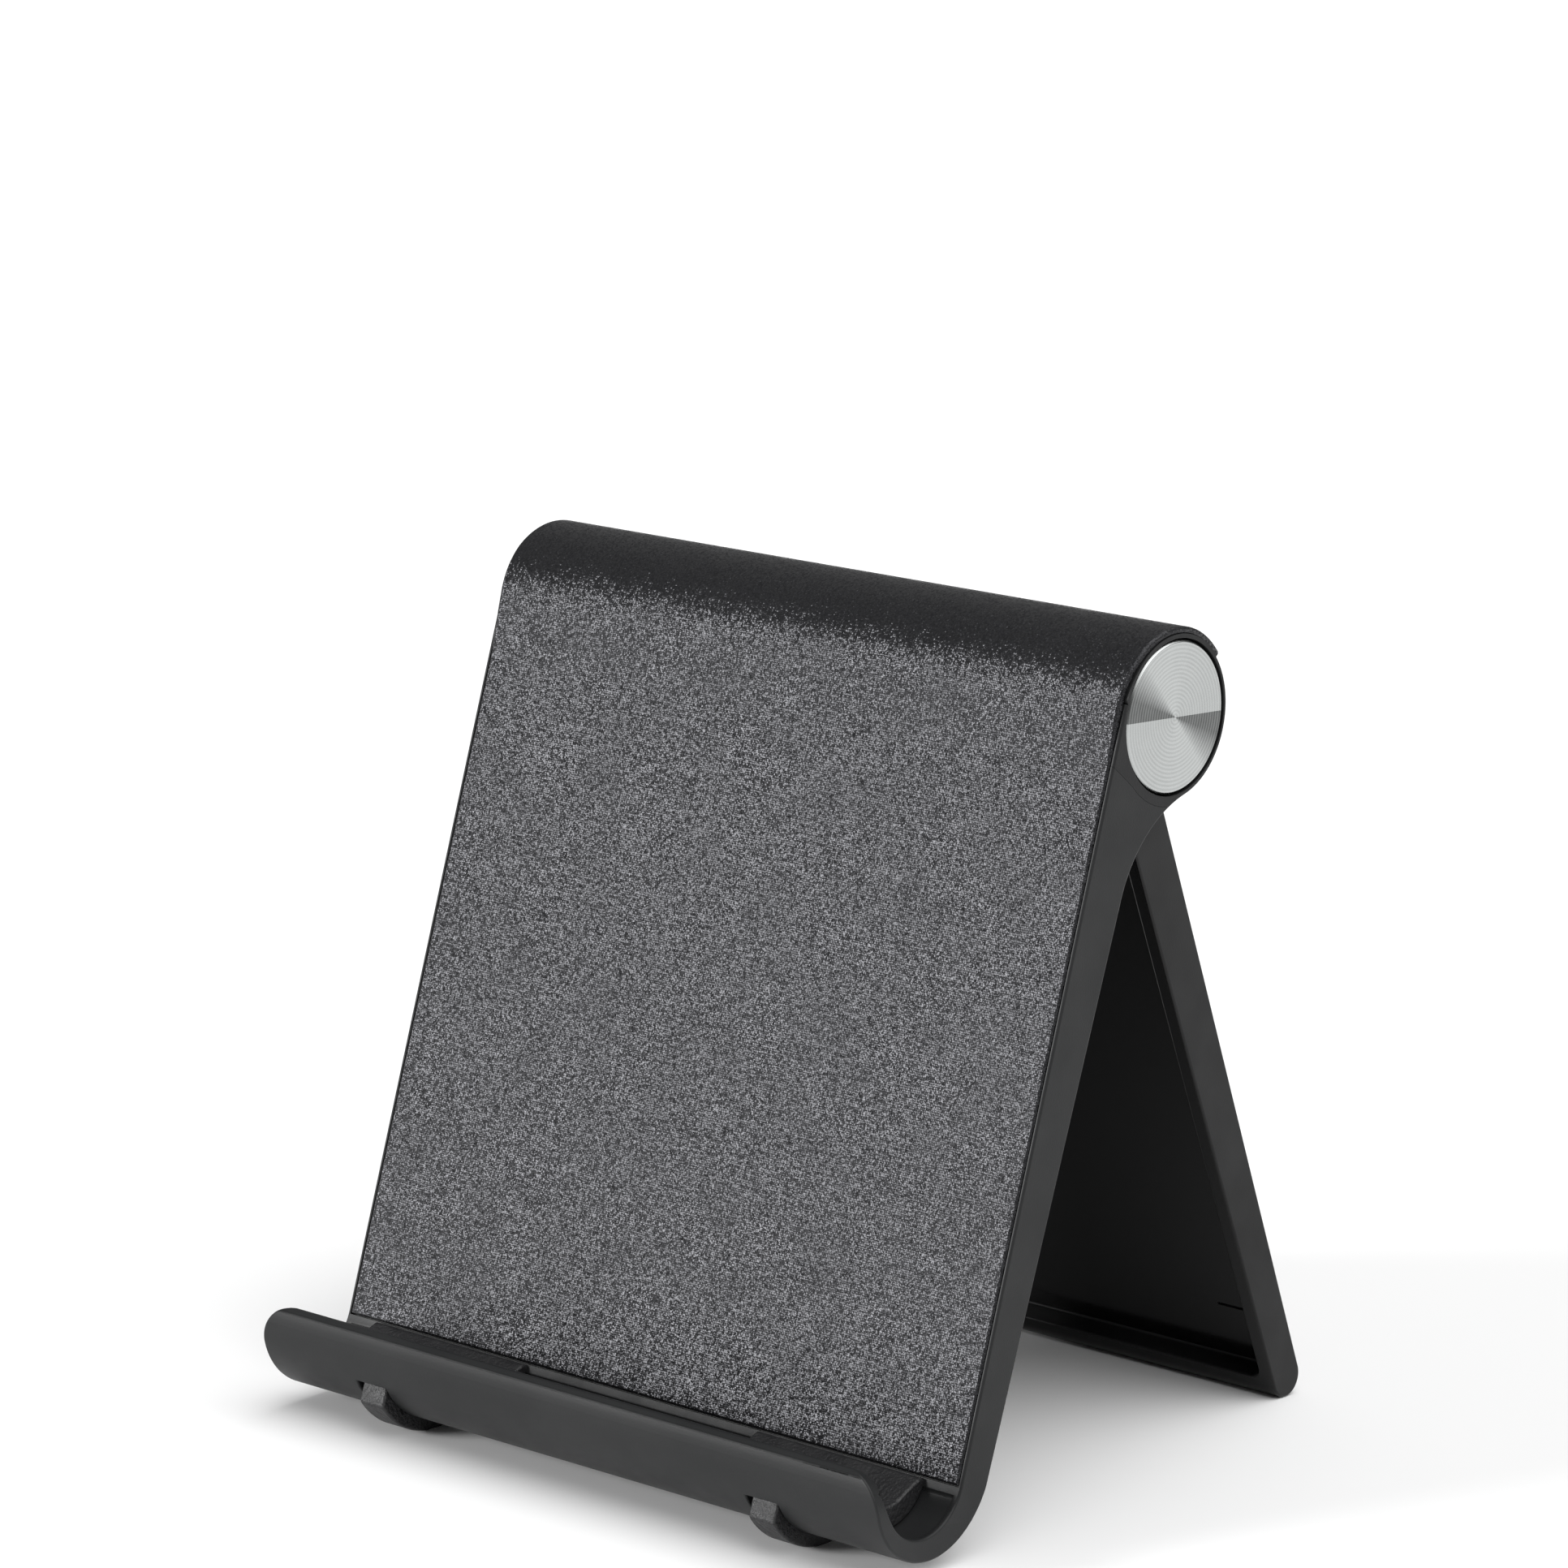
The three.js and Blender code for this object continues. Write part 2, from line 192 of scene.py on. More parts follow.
def arc(centre, radius, start, end, steps):
    return [polar(centre, radius, start + (end - start) * i / steps) for i in range(steps + 1)]


def cradle(steps=72):
    """The J from the plate's back, under the trough and up to the lip's rounded tip, and back inside."""
    tip_up = TROUGH[1] + 0.05 - LIP_TIP
    end = 180 - math.degrees(math.asin((TROUGH[1] - tip_up) / (TROUGH_RADIUS + LIP_WALL)))
    inner = math.degrees(math.asin((TROUGH[1] - tip_up) / TROUGH_RADIUS)) - 180
    outer = []
    for i in range(steps + 1):
        turn = end * i / steps
        wall = LIP_WALL + (BACK_AT_CRADLE - LIP_WALL) * (1 - turn / 180) ** WALL_TAPER
        outer.append(polar(TROUGH, TROUGH_RADIUS + wall, -turn))
    tip = arc((TROUGH[0] - TROUGH_RADIUS - LIP_TIP + 0.03, tip_up), LIP_TIP, 172, 8, 14)
    return outer + tip + arc(TROUGH, TROUGH_RADIUS, inner, 0, steps)


FLARE_REAR = BACK_AT_HINGE + FLARE_RADIUS
FLARE_UP = AXIS[1] - math.sqrt((EAR_RADIUS + FLARE_RADIUS) ** 2 - (FLARE_REAR - AXIS[0]) ** 2)


def ear_outline():
    """The whole plate where it ends in an ear that flares out of its back."""
    meet = math.degrees(math.atan2(AXIS[1] - FLARE_UP, AXIS[0] - FLARE_REAR))
    hood = arc(AXIS, EAR_RADIUS, 180, HOOD_END, 48)
    ear = arc(AXIS, EAR_RADIUS, HOOD_END, meet - 180, 44)
    flare = arc((FLARE_REAR, FLARE_UP), FLARE_RADIUS, meet, 180, 24)
    return hood + ear[1:] + flare[1:] + cradle()


def hood_outline():
    """The plate between the ears, where it ends in a hood over the leg's barrel."""
    seat_end = 180 + math.degrees(math.acos((AXIS[0] - BACK_AT_HINGE) / SEAT_RADIUS))
    hood = arc(AXIS, EAR_RADIUS, 180, HOOD_END, 48)
    seat = arc(AXIS, SEAT_RADIUS, HOOD_END, seat_end, 64)
    return hood + seat + [(BACK_AT_HINGE, FLARE_UP)] + cradle()


def cap_zone(grow):
    """All that belongs to a hinge cap, with a margin."""
    ring = arc(AXIS, CAP_RADIUS + grow, *CAP_ARC, 72)
    return ring + [(-3, AXIS[1] + 12), (-3, CAP_FRONT_UP - grow)]


def foot_outline(grow):
    """A pad's foot from the bed of the cradle to its round sole, with a margin."""
    nose_up = FOOT_CENTRE[1] - math.sqrt(FOOT_RADIUS**2 - (FOOT_NOSE - FOOT_CENTRE[0]) ** 2)
    nose = -180 + math.degrees(math.asin((FOOT_CENTRE[1] - nose_up) / FOOT_RADIUS))
    heel = -math.degrees(math.acos((FOOT_HEEL - FOOT_CENTRE[0]) / FOOT_RADIUS))
    sole = arc(FOOT_CENTRE, FOOT_RADIUS + grow, nose, heel - 6, 48)
    bed = arc(TROUGH, TROUGH_RADIUS - 1 - grow, -40, -135, 24)
    front = [(FOOT_NOSE - grow, FOOT_NOSE_TOP + grow), (FOOT_NOSE - grow, nose_up)]
    back = [(FOOT_HEEL - 0.2 + grow, FOOT_HEEL_FOOT), (FOOT_HEEL + grow, FOOT_HEEL_TOP + grow)]
    return front + sole + back + bed


# ---- Solids ----


def finish_mesh(bm):
    """Makes an object of the mesh, with its faces pointing out."""
    bmesh.ops.remove_doubles(bm, verts=bm.verts, dist=1e-5)
    bmesh.ops.recalc_face_normals(bm, faces=bm.faces)
    mesh = bpy.data.meshes.new("solid")
    bm.to_mesh(mesh)
    bm.free()
    piece = bpy.data.objects.new("solid", mesh)
    bpy.context.scene.collection.objects.link(piece)
    return piece


def shell(rings):
    """A closed solid through rings of points, with a face over each end."""
    bm = bmesh.new()
    rings = [[bm.verts.new(point) for point in ring] for ring in rings]
    bm.faces.new(rings[0])
    bm.faces.new(rings[-1])
    for near, far in zip(rings, rings[1:]):
        for i in range(len(near)):
            j = (i + 1) % len(near)
            bm.faces.new((near[i], near[j], far[j], far[i]))
    return finish_mesh(bm)


def prism(outline, x0, x1):
    """A (rear, up) outline carried from x0 to x1."""
    return shell([[(x, rear, up) for rear, up in outline] for x in (x0, x1)])


def turned(profile, segments=128):
    """A closed [x, radius] profile turned about the hinge axis."""
    bm = bmesh.new()
    rings = []
    for x, radius in profile:
        if radius == 0:
            rings.append([bm.verts.new((x, *AXIS))])
        else:
            turns = [360 * k / segments for k in range(segments)]
            rings.append([bm.verts.new((x, *polar(AXIS, radius, turn))) for turn in turns])
    for near, far in zip(rings, rings[1:] + rings[:1]):
        for k in range(segments):
            n = (k + 1) % segments
            if len(near) == 1 and len(far) == 1:
                continue
            if len(near) == 1:
                bm.faces.new((near[0], far[k], far[n]))
            elif len(far) == 1:
                bm.faces.new((near[k], near[n], far[0]))
            else:
                bm.faces.new((near[k], near[n], far[n], far[k]))
    return finish_mesh(bm)


def rod(radius, x0, x1, segments=96):
    return turned([(x0, 0), (x0, radius), (x1, radius), (x1, 0)], segments)


def rounded(width, height, radius, steps=8):
    """A rounded rectangle's corners, as (across, along) pairs."""
    points = []
    for sx, sy, start in ((1, 1, 0), (-1, 1, 90), (-1, -1, 180), (1, -1, 270)):
        centre = (sx * (width / 2 - radius), sy * (height / 2 - radius))
        points += arc(centre, radius, start, start + 90, steps)
    return points


def apply(piece):
    """Leaves the piece with the mesh that its modifiers make."""
    depsgraph = bpy.context.evaluated_depsgraph_get()
    mesh = bpy.data.meshes.new_from_object(piece.evaluated_get(depsgraph))
    piece.modifiers.clear()
    piece.data = mesh
    return piece


def combine(piece, other, operation):
    """Joins, cuts or intersects the piece with another, which is used up."""
    modifier = piece.modifiers.new("combine", "BOOLEAN")
    modifier.operation = operation
    modifier.solver = "EXACT"
    modifier.object = other
    apply(piece)
    bpy.data.objects.remove(other)
    return piece


def cut(piece, *others):
    for other in others:
        combine(piece, other, "DIFFERENCE")
    return piece


def copied(piece):
    other = bpy.data.objects.new("copy", piece.data.copy())
    bpy.context.scene.collection.objects.link(other)
    return other


def soften(piece, width, segments=3, where=None):
    """Rounds the piece's sharp edges, or only those whose middle is where the test says."""
    bm = bmesh.new()
    bm.from_mesh(piece.data)
    bmesh.ops.remove_doubles(bm, verts=bm.verts, dist=0.004)
    bmesh.ops.dissolve_limit(bm, angle_limit=math.radians(0.4), verts=bm.verts, edges=bm.edges)
    sharp = []
    for edge in bm.edges:
        middle = (edge.verts[0].co + edge.verts[1].co) / 2
        if edge.calc_face_angle(0) > math.radians(40) and (where is None or where(middle)):
            sharp.append(edge)
    bmesh.ops.bevel(
        bm, geom=sharp, offset=width, segments=segments, profile=0.5, affect="EDGES", clamp_overlap=False
    )
    bm.to_mesh(piece.data)
    bm.free()
    return piece


def smooth(piece, splits=()):
    """Shades curved faces smooth; splits across X keep the shading of a cut close to that cut."""
    bm = bmesh.new()
    bm.from_mesh(piece.data)
    for x in splits:
        everything = bm.verts[:] + bm.edges[:] + bm.faces[:]
        bmesh.ops.bisect_plane(bm, geom=everything, dist=1e-4, plane_co=(x, 0, 0), plane_no=(1, 0, 0))
    for edge in bm.edges:
        edge.smooth = edge.calc_face_angle(0) < math.radians(50)
    for face in bm.faces:
        face.smooth = True
    bm.to_mesh(piece.data)
    bm.free()
    normal = piece.modifiers.new("normal", "WEIGHTED_NORMAL")
    normal.keep_sharp = True
    return apply(piece)


def place(piece, name, matrix, body, material, replaces=()):
    """Names a piece, brings it to metres and stands it in the frame on its body, inside the CAD box."""
    piece.name = name
    piece.data.name = name
    piece.data.transform(matrix @ Matrix.Scale(MM, 4))
    for vertex in piece.data.vertices:
        vertex.co = [min(max(value, least), most) for value, least, most in zip(vertex.co, *cad_box)]
    piece.data.materials.clear()
    piece.data.materials.append(material)
    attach(piece, body)
    if replaces:
        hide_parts(*replaces)
    return piece


# ---- Materials ----


class Surface:
    """A node material on object coordinates, in metres."""

    def __init__(self, name, color, roughness, metallic=0.0):
        self.material = bpy.data.materials.new(name)
        self.material.use_nodes = True
        self.tree = self.material.node_tree
        self.shader = self.tree.nodes["Principled BSDF"]
        self.shader.inputs["Base Color"].default_value = (*color, 1)
        self.shader.inputs["Roughness"].default_value = roughness
        self.shader.inputs["Metallic"].default_value = metallic
        coords = self.tree.nodes.new("ShaderNodeTexCoord")
        self.coords = coords.outputs["Object"]
        self.facing = coords.outputs["Normal"]
        self.normal = None

    def node(self, kind, **inputs):
        node = self.tree.nodes.new(kind)
        for name, value in inputs.items():
            node.inputs[name.replace("_", " ")].default_value = value
        return node

    def link(self, output, target):
        self.tree.links.new(output, target)

    def noise(self, size, detail=2.0, rough=0.5):
        """Noise whose cells are about size metres across."""
        node = self.node("ShaderNodeTexNoise", Scale=1 / size, Detail=detail, Roughness=rough)
        self.link(self.coords, node.inputs["Vector"])
        return node.outputs["Fac"]

    def ramp(self, value, low, high, start=0.3, end=0.7):
        """From low to high as value goes from start to end."""
        node = self.node("ShaderNodeMapRange")
        node.inputs["From Min"].default_value = start
        node.inputs["From Max"].default_value = end
        node.inputs["To Min"].default_value = low
        node.inputs["To Max"].default_value = high
        self.link(value, node.inputs["Value"])
        return node.outputs["Result"]

    def shade(self, value, dark, light):
        """Base colour between two colours as value goes from 0 to 1."""
        node = self.tree.nodes.new("ShaderNodeMix")
        node.data_type = "RGBA"
        node.inputs["A"].default_value = (*dark, 1)
        node.inputs["B"].default_value = (*light, 1)
        self.link(value, node.inputs["Factor"])
        self.link(node.outputs["Result"], self.shader.inputs["Base Color"])

    def rough(self, value):
        self.link(value, self.shader.inputs["Roughness"])

    def bump(self, height, depth):
        """Raises the surface by height times depth, in metres."""
        node = self.node("ShaderNodeBump", Distance=depth)
        self.link(height, node.inputs["Height"])
        if self.normal is not None:
            self.link(self.normal, node.inputs["Normal"])
        self.normal = node.outputs["Normal"]
        self.link(self.normal, self.shader.inputs["Normal"])

    def edges(self):
        """From 0 on open faces to 1 on sharp convex edges."""
        geometry = self.tree.nodes.new("ShaderNodeNewGeometry")
        return self.ramp(geometry.outputs["Pointiness"], 0, 1, 0.52, 0.6)

    def math(self, operation, *values):
        node = self.tree.nodes.new("ShaderNodeMath")
        node.operation = operation
        for socket, value in zip(node.inputs, values):
            if isinstance(value, (int, float)):
                socket.default_value = value
            else:
                self.link(value, socket)
        return node.outputs["Value"]

    def split(self, vector):
        node = self.tree.nodes.new("ShaderNodeSeparateXYZ")
        self.link(vector, node.inputs["Vector"])
        return node.outputs


def moulded(name, dark, light, roughness, grain, depth, polish_and_painted_shade=None):
    """Moulded plastic: fine spark-eroded grain, faint flow clouding and slightly lighter convex edges.

    With the last argument, faces that look downwards are that glossy, and darker: a painted shade.
    """
    surface = Surface(name, light, roughness)
    surface.shader.inputs["Specular IOR Level"].default_value = 0.25
    cloud = surface.ramp(surface.noise(0.012, 3), 0, 1)
    tone = surface.math("MULTIPLY_ADD", surface.edges(), 0.5, cloud)
    grip = surface.ramp(surface.noise(0.004, 4), roughness - 0.04, roughness + 0.05)
    if polish_and_painted_shade is not None:
        # Painted shade: faces that look downwards are darkened here, and also made glossier.
        share = surface.ramp(surface.split(surface.facing)["Z"], 0, 1, -0.35, -0.12)
        tone = surface.math("MULTIPLY", tone, share)
        grip = surface.math("MULTIPLY", grip, surface.ramp(share, polish_and_painted_shade / roughness, 1, 0, 1))
    surface.shade(tone, dark, light)
    surface.rough(grip)
    surface.bump(surface.noise(grain, 2), depth)
    return surface.material


def skin_material():
    """Soft-touch skin: close-set grains, each tilted its own way, so that a few of them glint."""
    grain = 0.00022
    tilt_range = 0.44
    surface = Surface("skin_grain", (0.008, 0.008, 0.0085), 0.26)
    surface.shader.inputs["Specular IOR Level"].default_value = 0.38
    surface.shader.inputs["Specular Tint"].default_value = (0.94, 0.945, 1, 1)
    grains = surface.node("ShaderNodeTexVoronoi", Scale=1 / grain)
    surface.link(surface.coords, grains.inputs["Vector"])
    tilt = surface.tree.nodes.new("ShaderNodeVectorMath")
    tilt.operation = "MULTIPLY_ADD"
    tilt.inputs[1].default_value = [tilt_range] * 3
    tilt.inputs[2].default_value = [-tilt_range / 2] * 3
    surface.link(grains.outputs["Color"], tilt.inputs[0])
    geometry = surface.tree.nodes.new("ShaderNodeNewGeometry")
    tilted = surface.tree.nodes.new("ShaderNodeVectorMath")
    surface.link(geometry.outputs["Normal"], tilted.inputs[0])
    surface.link(tilt.outputs["Vector"], tilted.inputs[1])
    unit = surface.tree.nodes.new("ShaderNodeVectorMath")
    unit.operation = "NORMALIZE"
    surface.link(tilted.outputs["Vector"], unit.inputs[0])
    surface.normal = unit.outputs["Vector"]
    pits = surface.ramp(grains.outputs["Distance"], 1, 0, 0.2, 0.8)
    surface.shade(pits, (0.005, 0.005, 0.0055), (0.011, 0.011, 0.012))
    surface.rough(surface.ramp(surface.noise(0.006, 3), 0.26, 0.32))
    surface.bump(pits, 0.00002)
    return surface.material


def silicone_material():
    """Dull silicone rubber with a coarse, slightly patchy face."""
    surface = Surface("silicone", (0.02, 0.02, 0.021), 0.5)
    patches = surface.ramp(surface.noise(0.003, 3), 0, 1)
    surface.shade(patches, (0.008, 0.008, 0.009), (0.017, 0.017, 0.018))
    surface.rough(surface.ramp(surface.noise(0.002, 3), 0.4, 0.55))
    surface.bump(surface.noise(0.0004, 3), 0.00018)
    return surface.material


def spun_material():
    """Aluminium faced on a lathe: fine rings round the hinge axis, and two darker sectors that are a
    painted reflection.
    """
    ring_pitch = 0.00042
    surface = Surface("spun_aluminium", (0.56, 0.575, 0.57), 0.26, 1.0)
    surface.shader.inputs["Anisotropic"].default_value = 0.7
    tangent = surface.tree.nodes.new("ShaderNodeTangent")
    tangent.direction_type = "RADIAL"
    tangent.axis = "X"
    surface.link(tangent.outputs["Tangent"], surface.shader.inputs["Tangent"])
    centred = surface.tree.nodes.new("ShaderNodeVectorMath")
    centred.operation = "SUBTRACT"
    centred.inputs[1].default_value = hinge_at
    surface.link(surface.coords, centred.inputs[0])
    offset = surface.split(centred.outputs["Vector"])
    squares = surface.math("MULTIPLY", offset["Y"], offset["Y"])
    reach = surface.math("SQRT", surface.math("MULTIPLY_ADD", offset["Z"], offset["Z"], squares))
    rings = surface.math("SINE", surface.math("MULTIPLY", reach, math.tau / ring_pitch))
    # Painted reflection: two darker wedges round the axis, fixed in the base colour.
    angle = surface.math("ARCTAN2", offset["Z"], offset["Y"])
    half_turns = surface.math("MULTIPLY_ADD", angle, -1 / math.pi, -0.018)
    painted_reflection_sector = surface.ramp(surface.math("FRACT", half_turns), 1, 0, 0.1, 0.27)
    tone = surface.math("MULTIPLY_ADD", painted_reflection_sector, -0.62, 0.93)
    tone = surface.math("MULTIPLY_ADD", rings, 0.1, tone)
    tone = surface.math("MULTIPLY_ADD", surface.ramp(surface.noise(0.0012, 2), -1, 1), 0.02, tone)
    surface.shade(tone, (0, 0, 0), (0.5, 0.515, 0.51))
    surface.bump(rings, 0.000003)
    return surface.material


def metal(name, color, roughness):
    """Plated steel, a little uneven in its gloss."""
    surface = Surface(name, color, roughness, 1.0)
    surface.rough(surface.ramp(surface.noise(0.0006, 3), roughness - 0.08, roughness + 0.1))
    surface.bump(surface.noise(0.0001, 2), 0.000004)
    return surface.material


def plain(name, dark, light, roughness):
    """A dull material, lightly mottled."""
    surface = Surface(name, light, roughness)
    surface.shade(surface.ramp(surface.noise(0.0008, 3), 0, 1), dark, light)
    surface.bump(surface.noise(0.0002, 2), 0.00001)
    return surface.material


abs_plastic = moulded("abs_black", (0.0115, 0.012, 0.0125), (0.016, 0.0165, 0.017), 0.42, 0.0002, 1e-5)
cap_plastic = moulded("abs_cap", (0.009, 0.0093, 0.0097), (0.013, 0.0133, 0.0137), 0.46, 0.00022, 1.6e-5)
# The leg's downward faces get painted shade as well as more gloss.
leg_plastic = moulded(
    "abs_leg", (0.0035, 0.0035, 0.0038), (0.0125, 0.0125, 0.013), 0.42, 0.0002, 8e-6, polish_and_painted_shade=0.16
)
skin_finish = skin_material()
silicone = silicone_material()
spun = spun_material()
zinc = metal("zinc_steel", (0.55, 0.56, 0.57), 0.34)
nylon = plain("nylon", (0.7, 0.68, 0.6), (0.78, 0.76, 0.7), 0.5)
adhesive = plain("adhesive", (0.66, 0.63, 0.55), (0.74, 0.72, 0.64), 0.8)

# The CAD nodes that stay, by their names without the side
hidden = {"hinge_screw": zinc, "spring_washer": zinc, "flat_washer": zinc, "lock_nut": zinc}
hidden.update({"friction_washer": nylon, "adhesive_disc": adhesive})
for name, node in nodes.items():
    kind = name.rsplit("_", 1)[0]
    if kind in hidden:
        for slot in node.material_slots:
            slot.material = hidden[kind]


# ---- Front plate ----


def lip_corner(sign):
    """What is cut off the lip's upper corner, drawn across and up and carried through the lip."""
    centre = (HALF_WIDTH - LIP_CORNER, TROUGH[1] + 0.05 - LIP_CORNER)
    points = arc(centre, LIP_CORNER, 90, 0, 24)
    points += [(HALF_WIDTH + 2, centre[1]), (HALF_WIDTH + 2, 3), (HALF_WIDTH - LIP_CORNER, 3)]
    return shell([[(sign * x, rear, up) for x, up in points] for rear in (-15, -6)])


def skin_recess():
    back, bottom, top = SKIN_INNER + RECESS_GAP, SKIN_BOTTOM - RECESS_GAP, SKIN_TOP + RECESS_GAP
    outline = [(-2, bottom), (back, bottom), (back, top), (-2, top)]
    return prism(outline, -RECESS_HALF, RECESS_HALF)


def bowl_floor():
    """The cradle's floor, sunk a little below its rim and sloping up to it all round."""
    rings = []
    edge = HALF_WIDTH - RIM_WIDTH
    left = [(-edge - 0.15, -RIM_RISE), (0.3 - edge, BOWL_DEPTH)]
    right = [(edge - 0.3, BOWL_DEPTH), (edge + 0.15, -RIM_RISE)]
    for x, depth in left + right:
        outline = [polar(TROUGH, TROUGH_RADIUS - RIM_RISE, -BOWL_FROM)]
        outline += arc(TROUGH, TROUGH_RADIUS + depth, -BOWL_FROM - BOWL_SLOPE, BOWL_SLOPE - BOWL_TO, 64)
        outline += [polar(TROUGH, TROUGH_RADIUS - RIM_RISE, -BOWL_TO)]
        outline += arc(TROUGH, TROUGH_RADIUS - 1, -BOWL_TO, -BOWL_FROM, 64)
        rings.append([(x, rear, up) for rear, up in outline])
    return shell(rings)


def span(sign, near, far):
    """Two distances from the middle as x0 and x1, on the right for 1 and on the left for -1."""
    return (near, far) if sign > 0 else (-far, -near)


def under_skin(point):
    """Whether a point is on the part of the hood that the skin lies on."""
    rear, up = point.y - AXIS[0], point.z - AXIS[1]
    turn = math.degrees(math.atan2(up, rear))
    return HOOD_END + 2 < turn < 180 and EAR_RADIUS - 0.05 < math.hypot(rear, up) < EAR_RADIUS + 0.05


def near_axis(point):
    return math.hypot(point.y - AXIS[0], point.z - AXIS[1]) < DISC_SEAT_RADIUS + 0.16


def cap_block(sign, grow):
    return prism(cap_zone(grow), *span(sign, CAP_X - grow, HALF_WIDTH + 1))


def front_plate():
    """The plate with its cradle and ears; the two hinge caps are parted from its corners."""
    body = prism(hood_outline(), -EAR_INNER_X - 1, EAR_INNER_X + 1)
    for sign in (-1, 1):
        combine(body, prism(ear_outline(), *span(sign, EAR_INNER_X, HALF_WIDTH)), "UNION")
        cut(body, lip_corner(sign))
        near = sign * PAD_X - FOOT_HALF - SLOT_LEFT
        cut(body, prism(foot_outline(SLOT_GAP), near, near + 2 * FOOT_HALF + SLOT_PLAY))
    cut(body, bowl_floor())
    soften(body, PLATE_EDGE, where=lambda point: not under_skin(point))
    cut(body, skin_recess())
    for side, sign in (("left", -1), ("right", 1)):
        cap = combine(copied(body), cap_block(sign, 0), "INTERSECT")
        cut(cap, rod(DISC_SEAT_RADIUS, *span(sign, DISC_SEAT_X, HALF_WIDTH + 1)))
        soften(cap, CAP_BORE_EDGE, 2, near_axis)
        smooth(cap)
        place(cap, f"cap_{side}", PLATE, "panel", cap_plastic, [f"hinge_cap_{side}"])
        cut(body, cap_block(sign, SEAM), rod(SEAT_RADIUS, *span(sign, EAR_BORE_X, CAP_X)))
    splits = [side * (PAD_X + reach) for side in (-1, 1) for reach in (-4, 4)]
    smooth(body, splits + [-39, -33, -20, 0, 20, 33, 39])
    return place(body, "plate_body", PLATE, "panel", abs_plastic, ["front_plate"])


front_plate()


# ---- Skin ----


def skin():
    """One sheet up the plate's face, swelling forward to pass over the ears and back round the hood."""
    inner_start = 180 + math.degrees(math.asin((AXIS[1] - SKIN_TOP) / SKIN_WRAP_INNER))
    outline = [(-SKIN_PROUD, SKIN_BOTTOM)]
    for i in range(24):
        share = i / 24
        rise = share * share * (3 - 2 * share)
        rear = -SKIN_PROUD + (AXIS[0] - SKIN_WRAP + SKIN_PROUD) * rise
        outline.append((rear, SKIN_SWELL + (AXIS[1] - SKIN_SWELL) * share))
    outline += arc(AXIS, SKIN_WRAP, 180, HOOD_END, 72)
    outline += arc(AXIS, SKIN_WRAP_INNER, HOOD_END, inner_start, 80)
    outline += [(SKIN_INNER, SKIN_TOP), (SKIN_INNER, SKIN_BOTTOM)]

    def half(up):
        share = min(max((up - SKIN_TOP - RECESS_GAP) / HOOD_SPREAD, 0), 1)
        return SKIN_HALF + (HOOD_SKIN_HALF - SKIN_HALF) * share

    def outer(point):
        return point.y < -0.1 if point.z < AXIS[1] else math.dist(point.yz, AXIS) > SKIN_WRAP - 0.1

    body = shell([[(sign * half(up), rear, up) for rear, up in outline] for sign in (-1, 1)])
    soften(body, SKIN_EDGE, 5, outer)
    smooth(soften(body, SKIN_BACK_EDGE, 2), [-30, -10, 10, 30])
    return place(body, "skin_sheet", PLATE, "panel", skin_finish, ["face_skin"])


skin()


# ---- Pads ----


def pad(side, sign):
    """A pad bedded in the cradle, thickest in the middle, in one piece with its foot."""
    top = []
    steps = 48
    for i in range(steps + 1):
        turn = PAD_FROM + (PAD_TO - PAD_FROM) * i / steps
        rise = 1 - math.exp(-(turn - PAD_FROM) / PAD_FADE)
        fall = 1 - math.exp(-(PAD_TO + 2 - turn) / PAD_FADE)
        thickness = PAD_EDGE + (PAD_THICKNESS - PAD_EDGE) * rise * fall
        top.append(polar(TROUGH, PAD_BED - thickness, -turn))
    section = arc(TROUGH, PAD_BED, -PAD_TO, -PAD_FROM, steps) + top
    body = prism(section, *span(sign, PAD_X - PAD_HALF, PAD_X + PAD_HALF))
    foot = prism(foot_outline(0), *span(sign, PAD_X - FOOT_HALF, PAD_X + FOOT_HALF))
    combine(body, foot, "UNION")
    smooth(soften(body, PAD_ROUND))
    return place(body, f"pad_{side}", PLATE, "panel", silicone, [f"cradle_pad_{side}"])


# ---- Trim discs ----


def trim_disc(side, sign):
    profile = [(DISC_BACK, 0), (DISC_BACK, DISC_RADIUS), (DISC_FACE - DISC_CHAMFER, DISC_RADIUS)]
    profile += [(DISC_FACE, DISC_RADIUS - DISC_CHAMFER), (DISC_FACE, 0)]
    body = turned([(sign * x, radius) for x, radius in profile], 192)
    smooth(soften(body, DISC_EDGE, 2))
    return place(body, f"disc_{side}", PLATE, "panel", spun, [f"trim_disc_{side}"])


for side, sign in (("left", -1), ("right", 1)):
    pad(side, sign)
    trim_disc(side, sign)


# ---- Rear leg ----


def leg_front(down):
    """How far the leg's inner face is in front of the axis, so far down the leg."""
    tip = 2 * LEG_TIP - LEG_REAR
    return LEG_FRONT_ROOT + (tip - LEG_FRONT_ROOT) * down / LEG_LENGTH


def on_leg(outline, near, far):
    """A cutter through the leg's inner face, drawn (across, down), between two depths."""
    rings = []
    for depth in (near, far):
        rings.append([(x, AXIS[0] - leg_front(down) + depth, AXIS[1] - down) for x, down in outline])
    return shell(rings)


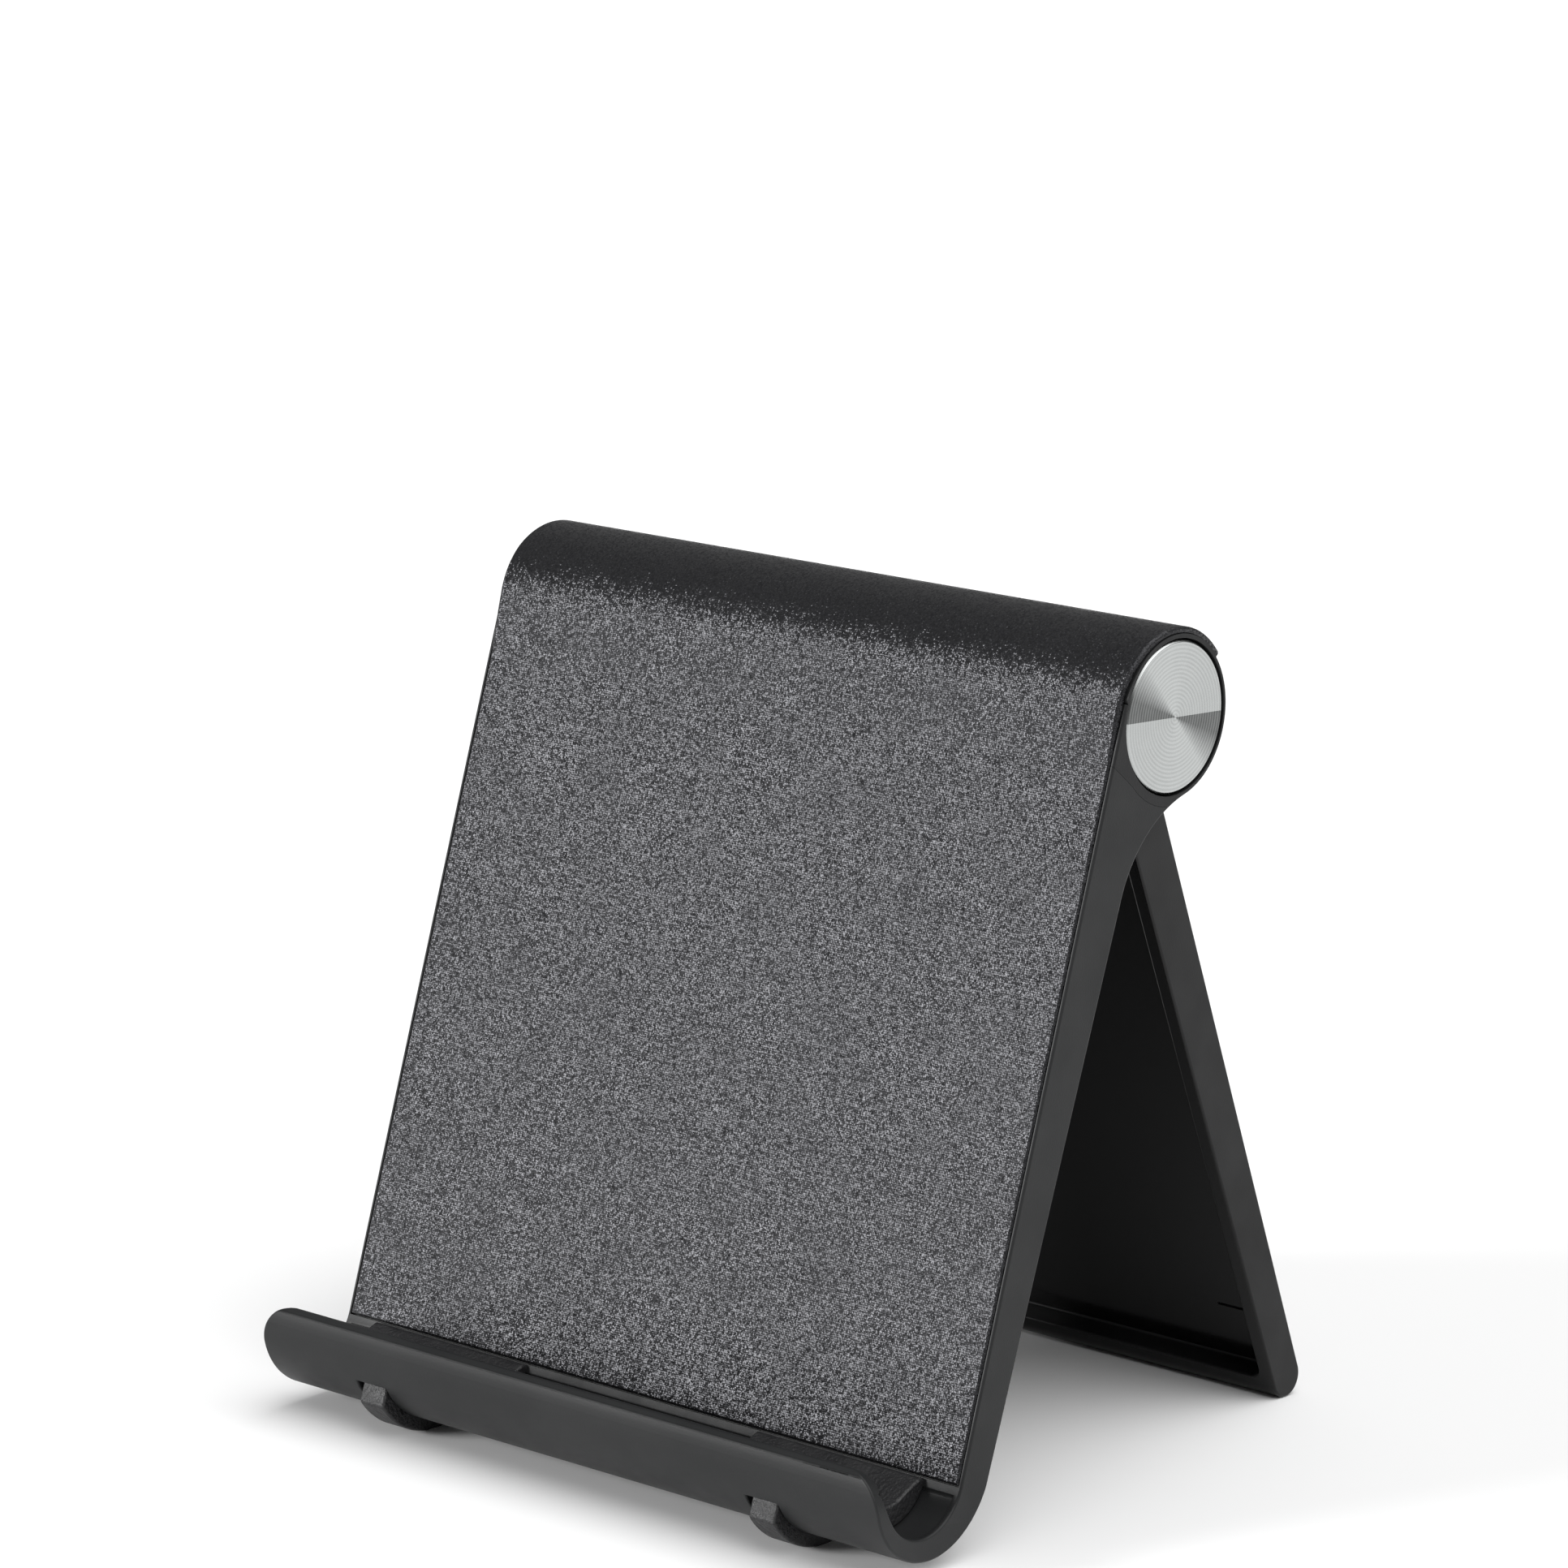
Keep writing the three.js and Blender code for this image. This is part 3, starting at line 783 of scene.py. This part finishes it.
def rear_leg():
    """A tapered plate with a round tip and a tray in its face, under a barrel with a pocket at each end."""
    tip = (AXIS[0] + LEG_REAR - LEG_TIP, AXIS[1] - LEG_LENGTH + LEG_TIP)
    plate = [(AXIS[0] + LEG_REAR, AXIS[1]), (AXIS[0] - LEG_FRONT_ROOT, AXIS[1])]
    plate += arc(tip, LEG_TIP, 180, 360, 40)
    body = prism(plate, -LEG_HALF, LEG_HALF)
    combine(body, rod(LEG_BARREL, -LEG_HALF, LEG_HALF), "UNION")
    bottom = LEG_LENGTH - LEG_TIP - TRAY_FOOT
    width = 2 * (LEG_HALF - LEG_WALL)
    height = bottom - TRAY_TOP
    middle = (bottom + TRAY_TOP) / 2
    tray = [(x, middle + along) for x, along in rounded(width, height, TRAY_CORNER)]
    cut(body, on_leg(tray, -8, TRAY_DEPTH))
    for sign in (-1, 1):
        cut(body, rod(NUT_POCKET_RADIUS, *span(sign, NUT_POCKET_X, LEG_HALF + 1)))
    soften(body, LEG_EDGE)
    for sign in (-1, 1):
        cut(body, on_leg([(sign * x, down) for x, down in MARK], 1, TRAY_DEPTH + MARK_DEPTH))
    smooth(body, [-24, 24])
    return place(body, "leg_body", LEG, "leg", leg_plastic, ["rear_leg"])


rear_leg()


# ---- Stage ----

low, high = cad_box


def studio_floor():
    """A matt, pale floor."""
    bm = bmesh.new()
    size = 3.0
    corners = [(-size, -size), (size, -size), (size, size), (-size, size)]
    bm.faces.new([bm.verts.new((x, y, 0)) for x, y in corners])
    mesh = bpy.data.meshes.new("floor")
    bm.to_mesh(mesh)
    bm.free()
    floor = bpy.data.objects.new("floor", mesh)
    bpy.context.scene.collection.objects.link(floor)
    material = bpy.data.materials.new("floor")
    material.use_nodes = True
    shader = material.node_tree.nodes["Principled BSDF"]
    shader.inputs["Base Color"].default_value = (0.93, 0.93, 0.93, 1)
    shader.inputs["Roughness"].default_value = 0.9
    shader.inputs["Specular IOR Level"].default_value = 0.1
    mesh.materials.append(material)


def studio_light(name, azimuth, elevation, spread, strength):
    """A soft light from far off; azimuth 0 is the front, and positive is to the right."""
    light = bpy.data.lights.new(name, "SUN")
    light.angle = math.radians(spread)
    light.energy = strength
    lamp = bpy.data.objects.new(name, light)
    turn = math.radians(azimuth)
    rise = math.radians(elevation)
    towards = Vector((math.sin(turn) * math.cos(rise), -math.cos(turn) * math.cos(rise), math.sin(rise)))
    lamp.rotation_euler = towards.to_track_quat("Z", "Y").to_euler()
    bpy.context.scene.collection.objects.link(lamp)


def studio_world():
    """A white backdrop that lights the scene only gently."""
    world = bpy.data.worlds.new("studio")
    world.use_nodes = True
    tree = world.node_tree
    background = tree.nodes["Background"]
    background.inputs["Color"].default_value = (1, 1, 1, 1)
    path = tree.nodes.new("ShaderNodeLightPath")
    level = tree.nodes.new("ShaderNodeMapRange")
    level.inputs["To Min"].default_value = 0.24
    level.inputs["To Max"].default_value = 1.0
    tree.links.new(path.outputs["Is Camera Ray"], level.inputs["Value"])
    tree.links.new(level.outputs["Result"], background.inputs["Strength"])
    bpy.context.scene.world = world


studio_floor()
studio_world()
studio_light("key", -32, 16, 20, 2.7)
studio_light("top", 100, 62, 80, 2.9)

bpy.context.scene.view_settings.view_transform = "Standard"
bpy.context.scene.view_settings.look = "None"


def camera():
    """Looks from the right and a little above, with a long lens and a slight roll."""
    azimuth = math.radians(40.52)
    elevation = math.radians(12.63)
    roll = math.radians(0.787)
    distance = 0.6877
    forward = Vector((
        -math.sin(azimuth) * math.cos(elevation),
        math.cos(azimuth) * math.cos(elevation),
        -math.sin(elevation),
    ))
    target = Vector((-0.00637, 0.00114, (low[2] + high[2]) / 2 + 0.02234))
    data = bpy.data.cameras.new("camera")
    data.sensor_width = 36
    data.lens = 148.37
    data.clip_start = 0.05
    camera_object = bpy.data.objects.new("camera", data)
    turn = forward.to_track_quat("-Z", "Y") @ Matrix.Rotation(roll, 4, "Z").to_quaternion()
    camera_object.rotation_euler = turn.to_euler()
    camera_object.location = target - forward * distance
    bpy.context.scene.collection.objects.link(camera_object)
    bpy.context.scene.camera = camera_object


camera()
